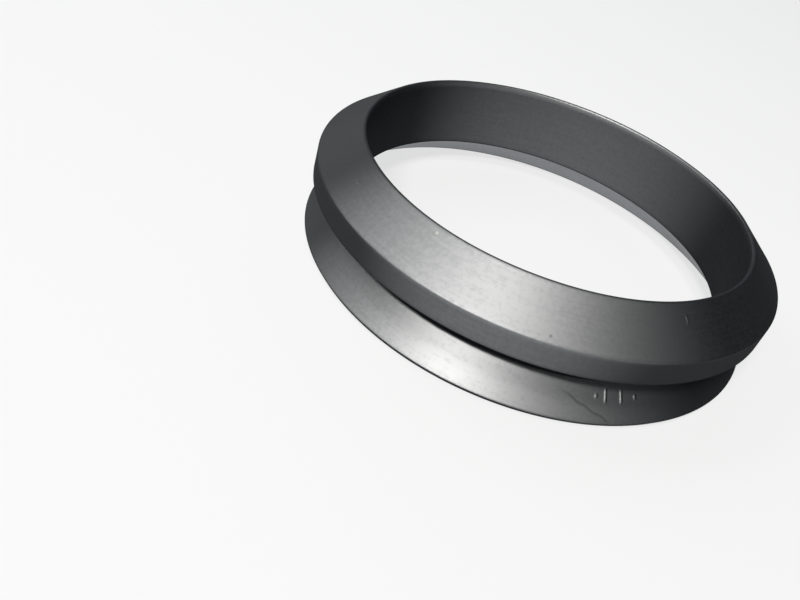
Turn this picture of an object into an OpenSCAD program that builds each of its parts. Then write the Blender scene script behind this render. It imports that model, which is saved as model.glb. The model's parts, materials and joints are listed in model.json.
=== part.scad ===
// V ring shaft seal: a one-piece rubber ring that is stretched onto a shaft and turns with it.
// Its thin conical lip leans on a flat face square to the shaft and wipes it.
// The axis is Z. The lip's sealing edge lies in the plane Z = 0 and the conical back is uppermost.

/* [Shaft seat] */
// Diameter of the bore before it is stretched over the shaft, in millimetres
bore_d = 49; // [40:0.5:70]
// Length of the seat along the shaft, from the back edge to the front edge
seat_length = 9.6; // [9:0.1:11]

/* [Body] */
// Height of the section, from the bore out to the band
section_height = 5.2; // [4.5:0.1:6]
// Width of the whole ring along the shaft, with the lip relaxed
ring_width = 13.5; // [12.5:0.1:14.5]
// Slope of the conical back, measured from a plane square to the shaft
cone_slope = 38; // [32:0.5:44]
// Width of the straight band around the outside
band_width = 3; // [2:0.1:3.5]

/* [Sealing lip] */
// How far the sealing edge lies inside the rim's outer corner
rim_inset = 0.45; // [0.3:0.05:0.7]
// Height of the rim's outer corner above the sealing edge
rim_height = 0.65; // [0.5:0.05:0.9]
// Angle by which the lip thickens from its rim to its root
lip_taper = 6; // [3:0.5:9]
// Slope of the body's face on the other side of the groove
groove_slope = 30; // [22:1:36]

/* [Edge radii] */
// Radius at the bottom of the groove, where the lip bends
hinge_radius = 0.4; // [0.2:0.05:0.6]
// Radius of the edge between the bore and the back
back_radius = 0.3; // [0.1:0.05:0.5]
// Radius of the shoulder between the back and the band
shoulder_radius = 0.25; // [0.1:0.05:0.5]
// Radius of the band's edge at the mouth of the groove
mouth_radius = 0.2; // [0.1:0.05:0.4]
// Radius of the edge between the bore and the lip's face
front_radius = 0.2; // [0.1:0.05:0.4]
// Radius of the rim's outer corner
rim_radius = 0.12; // [0.05:0.01:0.2]

/* [Hidden] */
$fn = 180;

bore_r = bore_d / 2;
outer_r = bore_r + section_height;
front_z = ring_width - seat_length;

// The back edge is rounded off, so the sharp corner it is cut from stands a little above the ring.
back_z = ring_width + back_radius * (1 / tan(45 - cone_slope / 2) - 1);
shoulder_z = back_z - section_height * tan(cone_slope);
mouth_z = shoulder_z - band_width;

// The lip's face runs straight from the bore's front edge to the sealing edge.
lip_slope = atan2(front_z, section_height - rim_inset);

// The groove's two faces meet this far in from the band, measured along the radius.
groove_depth = (mouth_z - rim_height) / (tan(lip_slope + lip_taper) + tan(groove_slope));

// Corners of the section in order around it: [distance from the axis, height, radius].
// The sealing edge is a trimmed edge and stays sharp.
CORNERS = [
    [bore_r, back_z, back_radius],
    [bore_r, front_z, front_radius],
    [outer_r - rim_inset, 0, 0],
    [outer_r, rim_height, rim_radius],
    [outer_r - groove_depth, mouth_z - groove_depth * tan(groove_slope), hinge_radius],
    [outer_r, mouth_z, mouth_radius],
    [outer_r, shoulder_z, shoulder_radius]
];
ALL = [for (i = [0 : len(CORNERS) - 1]) i];
ROOT = 4;

// The arcs are drawn larger by this much, so that each one crosses the sides it blends into.
crossing = 0.0002;

function place(i) = let (c = CORNERS[(i + len(CORNERS)) % len(CORNERS)]) [c[0], c[1]];
function radius(i) = CORNERS[i][2];
function unit(v) = v / norm(v);

// Directions from a corner to the corner before it and to the corner after it.
function to_last(i) = unit(place(i - 1) - place(i));
function to_next(i) = unit(place(i + 1) - place(i));
function half_angle(i) = acos(to_last(i) * to_next(i)) / 2;

// An arc that touches both sides has its centre on the line that halves the corner.
function touch(i) = radius(i) / tan(half_angle(i));
function centre(i) = place(i) + unit(to_last(i) + to_next(i)) * radius(i) / sin(half_angle(i));

// What lies between a corner and the arc that rounds it, carried on past both sides.
module corner_piece(i) {
    kite = [[0, 0], place(i) + to_last(i) * touch(i) - centre(i),
        place(i) - centre(i), place(i) + to_next(i) * touch(i) - centre(i)];
    translate(centre(i)) difference() {
        polygon(1.5 * kite);
        circle(r = radius(i) + crossing);
    }
}

// The V groove between the body and the lip: its faces run out through the two corners of its
// mouth, and its root is round so that the lip bends there without tearing.
module groove() {
    difference() {
        polygon([for (k = [-1 : 1]) place(ROOT) + 1.5 * (place(ROOT + k) - place(ROOT))]);
        corner_piece(ROOT);
    }
}

// The section of the ring: the plain outline, less the groove and less what rounds each edge.
module section() {
    difference() {
        polygon([for (i = ALL) if (i != ROOT) place(i)]);
        groove();
        for (i = ALL) if (i != ROOT && radius(i) > 0) corner_piece(i);
    }
}

module v_ring() {
    color([0.24, 0.25, 0.26]) rotate_extrude() section();
}

v_ring();
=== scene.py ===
import json

import bpy
import numpy as np
from mathutils import Matrix, Vector


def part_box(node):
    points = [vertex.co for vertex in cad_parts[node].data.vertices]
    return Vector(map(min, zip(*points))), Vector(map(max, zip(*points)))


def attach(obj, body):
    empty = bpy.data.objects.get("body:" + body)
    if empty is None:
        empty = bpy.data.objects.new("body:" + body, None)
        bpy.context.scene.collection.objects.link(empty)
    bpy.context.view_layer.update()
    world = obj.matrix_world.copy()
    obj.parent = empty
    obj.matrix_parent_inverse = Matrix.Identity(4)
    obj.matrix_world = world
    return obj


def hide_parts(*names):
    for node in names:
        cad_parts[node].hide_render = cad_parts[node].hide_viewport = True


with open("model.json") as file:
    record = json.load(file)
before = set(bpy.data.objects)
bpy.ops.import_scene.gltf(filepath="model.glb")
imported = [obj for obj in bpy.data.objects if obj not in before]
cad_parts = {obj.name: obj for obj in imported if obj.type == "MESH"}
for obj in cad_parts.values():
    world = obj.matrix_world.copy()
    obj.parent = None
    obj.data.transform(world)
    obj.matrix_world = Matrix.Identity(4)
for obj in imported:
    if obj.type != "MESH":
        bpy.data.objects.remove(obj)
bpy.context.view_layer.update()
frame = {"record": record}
scene = bpy.context.scene


# The ring: one moulding of black nitrile rubber. Its bore grips the shaft, and its thin lip, which
# hangs on the hinge at the root of the V groove, leans on a flat face. It lies on its lip with the
# conical back uppermost.
MM = 0.001

# Outside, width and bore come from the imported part, in mm.
low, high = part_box("v_ring")
outer_r = (high.x - low.x) / 2 / MM
width = (high.z - low.z) / MM
bore_r = next(mount["dims"]["r_mm"] for mount in frame["record"]["mounts"] if mount["kind"] == "bore")

# Driving sizes of the section in mm, the radii of its edges, and the slopes of its faces.
front_z = 3.9
band_width = 3.0
rim_inset = 0.45
rim_height = 0.65
sealing_radius = 0.04
rim_radius = 0.12
hinge_radius = 0.40
mouth_radius = 0.20
shoulder_radius = 0.25
back_radius = 0.30
front_radius = 0.20
cone_slope = np.radians(38)
groove_slope = np.radians(30)
lip_taper = np.radians(6)

# Heights of the sharp corners that the edges are rounded from, and the place of the groove's root.
back_z = width + back_radius * (1 / np.tan(np.pi / 4 - cone_slope / 2) - 1)
shoulder_z = back_z - (outer_r - bore_r) * np.tan(cone_slope)
mouth_z = shoulder_z - band_width
lip_slope = np.arctan2(front_z, outer_r - bore_r - rim_inset)
groove_depth = (mouth_z - rim_height) / (np.tan(lip_slope + lip_taper) + np.tan(groove_slope))
root_r = outer_r - groove_depth
root_z = mouth_z - groove_depth * np.tan(groove_slope)

# The section, corner by corner: distance from the axis, height, radius and gloss of the corner, then
# the step and the gloss of the side that leads to the next corner. Gloss 1 is the satin of the two
# upper faces. The groove, the band and the bore are duller, and the sealing face is smoothest.
section_corners = np.array([
    [outer_r - rim_inset, 0.0, sealing_radius, 1.0, 0.20, 0.70],   # sealing edge, rim
    [outer_r, rim_height, rim_radius, 0.8, 0.13, 1.00],            # rim's corner, lip's back
    [root_r, root_z, hinge_radius, 0.2, 0.35, 0.40],               # hinge root, groove
    [outer_r, mouth_z, mouth_radius, 0.7, 0.35, 0.75],             # groove's mouth, band
    [outer_r, shoulder_z, shoulder_radius, 0.9, 0.20, 1.00],       # shoulder, conical back
    [bore_r, back_z, back_radius, 1.0, 0.60, 0.45],                # back edge, bore
    [bore_r, front_z, front_radius, 0.4, 0.45, 8.00],              # front edge, sealing face
])


def rounded_section(corners):
    """The closed section in mm and the gloss at each of its points.

    Each corner becomes an arc that touches its two sides, drawn in six points. Each side from one
    arc to the next is divided into equal parts of about its step.
    """
    places = corners[:, :2]
    befores = np.roll(places, 1, 0)
    afters = np.roll(places, -1, 0)
    arcs = []
    for before, corner, after, radius in zip(befores, places, afters, corners[:, 2]):
        back = (before - corner) / np.linalg.norm(before - corner)
        on = (after - corner) / np.linalg.norm(after - corner)
        half = np.arccos(back @ on) / 2
        middle = corner + (back + on) / np.linalg.norm(back + on) * radius / np.sin(half)
        start = corner + back * radius / np.tan(half) - middle
        end = corner + on * radius / np.tan(half) - middle
        turn = np.pi - 2 * half
        share = np.linspace(0, 1, 6)[:, None]
        swept = np.sin((1 - share) * turn) * start + np.sin(share * turn) * end
        arcs.append(middle + swept / np.sin(turn))
    points, gloss = [], []
    for arc, following, (arc_gloss, step, side_gloss) in zip(arcs, arcs[1:] + arcs[:1], corners[:, 3:]):
        parts = max(2, int(np.ceil(np.linalg.norm(following[0] - arc[-1]) / step)))
        share = np.linspace(0, 1, parts + 1)[1:-1, None]
        side = arc[-1] + share * (following[0] - arc[-1])
        points += [arc, side]
        gloss += [np.full(len(arc), arc_gloss), np.full(len(side), side_gloss)]
    return np.concatenate(points), np.concatenate(gloss)


section, section_gloss = rounded_section(section_corners)

# Angles in degrees count from the camera's side, to the right seen from above. They close up where
# the moulded marks and the crease are.
marked_from, marked_to = 17.0, 43.0
coarse = np.arange(-180.0, 180.0, 1.0)
close = np.arange(marked_from, marked_to, 0.12)
angles = np.sort(np.concatenate([coarse[(coarse < marked_from) | (coarse >= marked_to)], close]))


def mound(distance, size):
    """A rounded rise of 1 at distance 0 that falls to 0 at the given size."""
    return np.clip(1 - (distance / size) ** 2, 0, None) ** 1.5


def bar(degrees, r, angle, inner, outer, size):
    """A rounded bar along the radius: a mound over the distance to the line from inner to outer."""
    aside = np.radians(degrees - angle) * r
    past = np.clip(inner - r, 0, None) + np.clip(r - outer, 0, None)
    return mound(np.hypot(aside, past), size)


def on_lip_back(r, z):
    """1 on the lip's back, away from its rim and the hinge, and 0 elsewhere.

    The back lies more than 0.3 mm above the line of the sealing face. It counts from 0.15 mm above
    the rim's corner to 0.4 mm below the groove's root, and from 0.5 mm outside that root.
    """
    above_face = z - (outer_r - rim_inset - r) * np.tan(lip_slope)
    between = (z > rim_height + 0.15) & (z < root_z - 0.4) & (r > root_r + 0.5)
    return (between & (above_face > 0.3)).astype(float)


# The crease in the lip's back: where it starts and ends, its distance from the axis at the start, its
# drift outwards in mm for each degree, and half its width.
crease_from, crease_to = 18.0, 31.5
crease_start_r = outer_r - 2.41
crease_drift = 0.175
crease_half = 0.14


def crease(degrees, r, z):
    """The shallow crease in the lip's back: 1 along its line and 0 away from it.

    The line's distance from the axis grows by the drift for each degree and wavers a little. The
    crease fades in over 4 degrees and out over 2.
    """
    line = crease_start_r + (degrees - crease_from) * crease_drift + 0.05 * np.sin(degrees * 1.7)
    ends = np.clip((degrees - crease_from) / 4, 0, 1) * np.clip((crease_to - degrees) / 2, 0, 1)
    return on_lip_back(r, z) * ends * mound(r - line, crease_half)


# Two ribs between two pips, moulded on the lip's back: the angle in degrees, then the two ends along
# the radius, half the width and the height in mm. The nick on the conical back is such a bar too.
lip_marks = (
    (27.15, outer_r - 2.05, outer_r - 2.05, 0.25, 0.065),
    (29.40, outer_r - 2.50, outer_r - 1.75, 0.20, 0.065),
    (33.30, outer_r - 2.45, outer_r - 1.70, 0.20, 0.075),
    (36.90, outer_r - 2.05, outer_r - 2.05, 0.25, 0.090),
)
nick_angle = 41.6
nick_from, nick_to = bore_r + 1.55, bore_r + 2.0


def ring_relief(degrees, r, z):
    """How far the skin stands out from the section, in mm.

    The moulding is slightly uneven, in three slow waves round the ring that die out at the rim. The
    marks stand on the lip's back and a nick on the conical back, and the crease is pressed in.
    """
    t = np.radians(degrees)
    waves = 0.012 * np.sin(2 * t + 0.6) + 0.008 * np.sin(5 * t + 0.4 * z)
    waves = waves + 0.006 * np.sin(9 * t - 0.5 * r + 1)
    relief = waves * np.clip((z - rim_height - 0.05) / 2, 0, 1)
    rise = 0
    for angle, inner, outer, size, height in lip_marks:
        rise = np.maximum(rise, height * bar(degrees, r, angle, inner, outer, size))
    nick = 0.03 * bar(degrees, r, nick_angle, nick_from, nick_to, 0.14) * (z > shoulder_z)
    return relief + on_lip_back(r, z) * rise + nick - 0.02 * crease(degrees, r, z)


def turned(outline, degrees, relief):
    """The outline carried round the axis and moved out along its own normal by the relief.

    The point at angle t and place s is r(s) from the axis in the direction of t, at height z(s).
    """
    along = np.roll(outline, -1, 0) - np.roll(outline, 1, 0)
    along /= np.linalg.norm(along, axis=1, keepdims=True)
    out = relief(degrees[:, None], outline[None, :, 0], outline[None, :, 1])
    r = outline[:, 0] + out * along[:, 1]
    z = outline[:, 1] - out * along[:, 0]
    t = np.radians(degrees)[:, None]
    return np.stack([r * np.sin(t), -r * np.cos(t), z], -1)


def closed_grid(name, points, u, v):
    """A mesh of quads over a grid that closes on itself both ways, with a UV map.

    Quad (i, j) joins grid lines i and i + 1 with j and j + 1, and the last line with the first.
    u and v are the distances of the lines in mm, with one more for the return to the first.
    """
    rows, columns = points.shape[:2]
    i, j = np.meshgrid(np.arange(rows), np.arange(columns), indexing="ij")
    corner_i = np.stack([i, i + 1, i + 1, i], -1).reshape(-1, 4)
    corner_j = np.stack([j, j, j + 1, j + 1], -1).reshape(-1, 4)
    quads = (corner_i % rows) * columns + corner_j % columns
    mesh = bpy.data.meshes.new(name)
    mesh.vertices.add(rows * columns)
    mesh.vertices.foreach_set("co", (points * MM).ravel())
    mesh.loops.add(quads.size)
    mesh.loops.foreach_set("vertex_index", quads.ravel())
    mesh.polygons.add(len(quads))
    mesh.polygons.foreach_set("loop_start", np.arange(0, quads.size, 4))
    mesh.polygons.foreach_set("use_smooth", np.ones(len(quads), bool))
    mesh.update(calc_edges=True)
    along_surface = mesh.uv_layers.new(name="along_surface")
    along_surface.uv.foreach_set("vector", (np.stack([u[corner_i], v[corner_j]], -1) * MM).ravel())
    mesh.validate()
    piece = bpy.data.objects.new(name, mesh)
    scene.collection.objects.link(piece)
    return piece


round_axis = np.radians(np.append(angles, angles[0] + 360)) * (bore_r + outer_r) / 2
round_section = np.append(0, np.cumsum(np.linalg.norm(np.roll(section, -1, 0) - section, axis=1)))
ring = closed_grid("v_ring_rubber", turned(section, angles, ring_relief), round_axis, round_section)

# Deep in the groove, this far in from the band, and along the crease the skin is dull.
dull_depth = 3.15
dull_gloss = 0.2
section_r, section_z = section.T
in_groove = (section_r > bore_r + 0.5) & (section_r < outer_r - dull_depth)
in_groove &= (section_z > front_z - 0.4) & (section_z < mouth_z)
section_gloss[in_groove] = dull_gloss
gloss = section_gloss * (1 - 0.4 * crease(angles[:, None], section_r, section_z))
ring.data.attributes.new("gloss", "FLOAT", "POINT").data.foreach_set("value", gloss.ravel())


def linear(code):
    """The linear colour of an sRGB hex code."""
    s = np.array([int(code[k:k + 2], 16) for k in (1, 3, 5)]) / 255
    return (*np.where(s <= 0.04045, s / 12.92, ((s + 0.055) / 1.055) ** 2.4), 1.0)


def add(tree, kind, inputs=None, **settings):
    """Adds a node, sets its settings, and gives each named input a value or a link."""
    made = tree.nodes.new(kind)
    for name, value in settings.items():
        setattr(made, name, value)
    for name, value in (inputs or {}).items():
        if isinstance(value, bpy.types.NodeSocket):
            tree.links.new(value, made.inputs[name])
        else:
            made.inputs[name].default_value = value
    return made


# Moulded nitrile rubber, filled with carbon black: nearly black in itself, with a satin skin that
# takes a broad pale highlight. The mould's turning marks run round the ring as fine streaks, the
# skin has a fine grain, and a thin grey bloom clouds it.
rubber = bpy.data.materials.new("moulded_nitrile_rubber")
rubber.use_nodes = True
tree = rubber.node_tree
tree.nodes.clear()
place = add(tree, "ShaderNodeTexCoord")
spot = add(tree, "ShaderNodeSeparateXYZ", {0: place.outputs["Object"]})
across = add(tree, "ShaderNodeSeparateXYZ", {0: place.outputs["UV"]})

# Turning marks in mm. Real ones are finer and would not show.
streak_length = 7.0
streak_spacing = 0.3
streak_x = add(tree, "ShaderNodeMath", {
    0: spot.outputs["X"], 1: 1 / (streak_length * MM)}, operation="MULTIPLY")
streak_y = add(tree, "ShaderNodeMath", {
    0: spot.outputs["Y"], 1: 1 / (streak_length * MM)}, operation="MULTIPLY")
streak_s = add(tree, "ShaderNodeMath", {
    0: across.outputs["Y"], 1: 1 / (streak_spacing * MM)}, operation="MULTIPLY")
streak_place = add(tree, "ShaderNodeCombineXYZ", {
    0: streak_x.outputs[0], 1: streak_y.outputs[0], 2: streak_s.outputs[0]})
streaks = add(tree, "ShaderNodeTexNoise", {
    "Vector": streak_place.outputs[0], "Scale": 1.0, "Detail": 2.0})

# Grain of the skin and clouds of bloom, in mm. Real grain is finer and would not show.
grain_size = 0.3
cloud_size = 0.5
grain = add(tree, "ShaderNodeTexNoise", {
    "Vector": place.outputs["Object"], "Scale": 1 / (grain_size * MM), "Detail": 2.0})
bloom = add(tree, "ShaderNodeTexNoise", {
    "Vector": place.outputs["Object"], "Scale": 1 / (cloud_size * MM), "Detail": 4.0, "Roughness": 0.65})

# Colour: black rubber, greyer where the bloom is thick and along the streaks.
thin_bloom, thick_bloom = 0.5, 1.0
clouded = add(tree, "ShaderNodeMath", {
    0: streaks.outputs["Fac"], 1: 0.45, 2: bloom.outputs["Fac"]}, operation="MULTIPLY_ADD")
shade = add(tree, "ShaderNodeValToRGB", {"Fac": clouded.outputs[0]})
shade.color_ramp.elements[0].position = thin_bloom
shade.color_ramp.elements[0].color = linear("#0f1113")
shade.color_ramp.elements[1].position = thick_bloom
shade.color_ramp.elements[1].color = linear("#1e2124")

# Specks of dust and one dark crumb on the conical back: angle, distance from the axis, size, colour.
# Inputs 6 and 7 of a colour mix are its two colours, and output 2 is the mixed one.
cone_specks = (
    (-20.1, 25.52, 0.26, "#bfbfbc"),
    (-18.6, 25.60, 0.18, "#9a9a98"),
    (-46.0, 27.10, 0.20, "#6f716f"),
    (10.6, 29.07, 0.19, "#5c5d54"),
)
colour = shade.outputs["Color"]
cover = 0.0
for degrees, r, size, code in cone_specks:
    t = np.radians(degrees)
    cone_z = back_z - (r - bore_r) * np.tan(cone_slope)
    centre = np.array([r * np.sin(t), -r * np.cos(t), cone_z]) * MM
    away = add(tree, "ShaderNodeVectorMath", {
        0: place.outputs["Object"], 1: centre}, operation="DISTANCE")
    inside = add(tree, "ShaderNodeMapRange", {
        "Value": away.outputs["Value"], "From Min": size * MM, "From Max": 0.0}).outputs["Result"]
    colour = add(tree, "ShaderNodeMix", {
        0: inside, 6: colour, 7: linear(code)}, data_type="RGBA").outputs[2]
    cover = add(tree, "ShaderNodeMath", {0: cover, 1: inside}, operation="MAXIMUM").outputs[0]

# Roughness: smoother where the bloom is thin.
satin = add(tree, "ShaderNodeMapRange", {
    "Value": clouded.outputs[0], "From Min": thin_bloom, "From Max": thick_bloom,
    "To Min": 0.52, "To Max": 0.55})

# Relief of grain and streaks, a few thousandths of a millimetre.
fine_relief = add(tree, "ShaderNodeMath", {
    0: streaks.outputs["Fac"], 1: 0.4, 2: grain.outputs["Fac"]}, operation="MULTIPLY_ADD")
bump = add(tree, "ShaderNodeBump", {
    "Height": fine_relief.outputs[0], "Distance": 0.01 * MM, "Strength": 0.6})

# The satin skin. Carbon black gives it a stronger reflection than clear rubber's.
skin = add(tree, "ShaderNodeBsdfPrincipled", {
    "Base Color": colour,
    "Roughness": satin.outputs["Result"],
    "IOR": 2.3,
    "Specular IOR Level": 1.0,
    "Specular Tint": linear("#f7fbff"),
    "Normal": bump.outputs["Normal"],
})

# The bloom itself is matt. It hides the satin on the dull faces, in its clouds, under the specks, and
# all over where the skin is seen edge on.
chalk = add(tree, "ShaderNodeBsdfPrincipled", {
    "Base Color": colour,
    "Roughness": 0.9,
    "Specular IOR Level": 0.0,
    "Normal": bump.outputs["Normal"],
})
slant = add(tree, "ShaderNodeLayerWeight", {"Blend": 0.5})
satin_left = add(tree, "ShaderNodeMapRange", {
    "Value": slant.outputs["Facing"], "From Min": 0.02, "From Max": 0.46,
    "To Min": 1.0, "To Max": 0.12}, interpolation_type="SMOOTHSTEP")
face = add(tree, "ShaderNodeAttribute", attribute_name="gloss")
patches = add(tree, "ShaderNodeMapRange", {
    "Value": clouded.outputs[0], "From Min": thin_bloom, "From Max": thick_bloom,
    "To Min": 1.14, "To Max": 0.84})
shown = add(tree, "ShaderNodeMath", {
    0: satin_left.outputs["Result"], 1: face.outputs["Fac"]}, operation="MULTIPLY")
shown = add(tree, "ShaderNodeMath", {
    0: shown.outputs[0], 1: patches.outputs["Result"]}, operation="MULTIPLY")
shown = add(tree, "ShaderNodeMath", {
    0: shown.outputs[0], 1: cover}, operation="SUBTRACT", use_clamp=True)
surface = add(tree, "ShaderNodeMixShader", {
    0: shown.outputs[0], 1: chalk.outputs[0], 2: skin.outputs[0]})
add(tree, "ShaderNodeOutputMaterial", {"Surface": surface.outputs[0]})
ring.data.materials.append(rubber)

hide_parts("v_ring")
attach(ring, "root")


# The floor: a sheet of matt white paper that the ring lies on, large enough to fill the view behind
# it. It is not attached to the ring.
floor_half = 2.0
floor_mesh = bpy.data.meshes.new("floor")
floor_mesh.from_pydata([
    (-floor_half, -floor_half, 0), (floor_half, -floor_half, 0),
    (floor_half, floor_half, 0), (-floor_half, floor_half, 0)], [], [(0, 1, 2, 3)])
floor = bpy.data.objects.new("floor", floor_mesh)
scene.collection.objects.link(floor)

# White paper: matt and even. Part of its whiteness is its own, so that it stays white away from
# the lamps, and the rest is lit, so that it keeps the ring's shadow.
own_white = 0.7
paper = bpy.data.materials.new("matt_white_paper")
paper.use_nodes = True
tree = paper.node_tree
tree.nodes.clear()
matt = add(tree, "ShaderNodeBsdfDiffuse", {"Color": linear("#cccfd2")})
white = add(tree, "ShaderNodeEmission", {"Color": linear("#ffffff"), "Strength": 1.0})
ray = add(tree, "ShaderNodeLightPath")
seen = add(tree, "ShaderNodeMath", {
    0: ray.outputs["Is Camera Ray"], 1: ray.outputs["Is Glossy Ray"]}, operation="MAXIMUM")
seen = add(tree, "ShaderNodeMath", {
    0: seen.outputs[0], 1: ray.outputs["Is Transmission Ray"]}, operation="MAXIMUM")
share = add(tree, "ShaderNodeMath", {0: seen.outputs[0], 1: own_white}, operation="MULTIPLY")
sheet = add(tree, "ShaderNodeMixShader", {
    0: share.outputs[0], 1: matt.outputs[0], 2: white.outputs[0]})
add(tree, "ShaderNodeOutputMaterial", {"Surface": sheet.outputs[0]})
floor_mesh.materials.append(paper)


# The light: a narrow box in front makes the highlights and the crisp shadow in the groove, and a soft
# box above it fills the conical back. Two more on the left and a cool one behind light the edges.
def soft_box(name, turn, rise, distance, size, watts, tint):
    """An area lamp that looks at the ring from a direction in degrees, at a distance in metres."""
    lamp = bpy.data.lights.new(name, "AREA")
    lamp.shape = "RECTANGLE"
    lamp.size, lamp.size_y = size
    lamp.energy = watts
    lamp.color = linear(tint)[:3]
    turn, rise = np.radians(turn), np.radians(rise)
    towards = Vector((np.sin(turn) * np.cos(rise), -np.cos(turn) * np.cos(rise), np.sin(rise)))
    holder = bpy.data.objects.new(name, lamp)
    holder.matrix_world = Matrix.LocRotScale(towards * distance, towards.to_track_quat("Z", "Y"), None)
    scene.collection.objects.link(holder)


soft_box("front_strip_box", -13.5, 43.5, 0.55, (0.12, 0.03), 2.45, "#fffbf5")
soft_box("top_soft_box", -7, 70, 0.55, (0.12, 0.14), 1.0, "#fffbf5")
soft_box("left_soft_box", -96, 45, 0.80, (0.50, 0.45), 1.7, "#fcfcfa")
soft_box("far_left_soft_box", -128, 14, 0.80, (0.80, 0.20), 2.2, "#fffdfa")
soft_box("back_soft_box", -176, 34, 0.80, (0.50, 0.55), 1.1, "#e4eaf4")

# Dim surroundings, a little lighter at the horizon.
world = bpy.data.worlds.new("studio")
scene.world = world
world.use_nodes = True
tree = world.node_tree
tree.nodes.clear()
look = add(tree, "ShaderNodeTexCoord")
height = add(tree, "ShaderNodeSeparateXYZ", {0: look.outputs["Generated"]})
level = add(tree, "ShaderNodeMapRange", {
    "Value": height.outputs["Z"], "From Min": 0.0, "From Max": 0.15,
    "To Min": 0.05, "To Max": 0.04}, interpolation_type="SMOOTHSTEP")
air = add(tree, "ShaderNodeBackground", {
    "Color": linear("#ffffff"), "Strength": level.outputs["Result"]})
add(tree, "ShaderNodeOutputWorld", {"Surface": air.outputs[0]})

scene.view_settings.view_transform = "Standard"


# The camera, close to the ring and a little above it, turned about its own line of sight. Its stand
# and its aim are in mm from the ring's axis and the floor.
camera_stand = Vector((0.0, -86.626, 51.207)) * MM
camera_aim = Vector((-9.534, -28.303, 6.75)) * MM
camera_roll = np.radians(18.052)
eye = bpy.data.cameras.new("camera")
eye.sensor_fit = "HORIZONTAL"
eye.sensor_width = 36.0
eye.lens = 33.106
eye.clip_start = 0.002
eye.clip_end = 20
camera = bpy.data.objects.new("camera", eye)
sight = (camera_aim - camera_stand).to_track_quat("-Z", "Y").to_matrix().to_4x4()
camera.matrix_world = Matrix.Translation(camera_stand) @ sight @ Matrix.Rotation(camera_roll, 4, "Z")
scene.collection.objects.link(camera)
scene.camera = camera
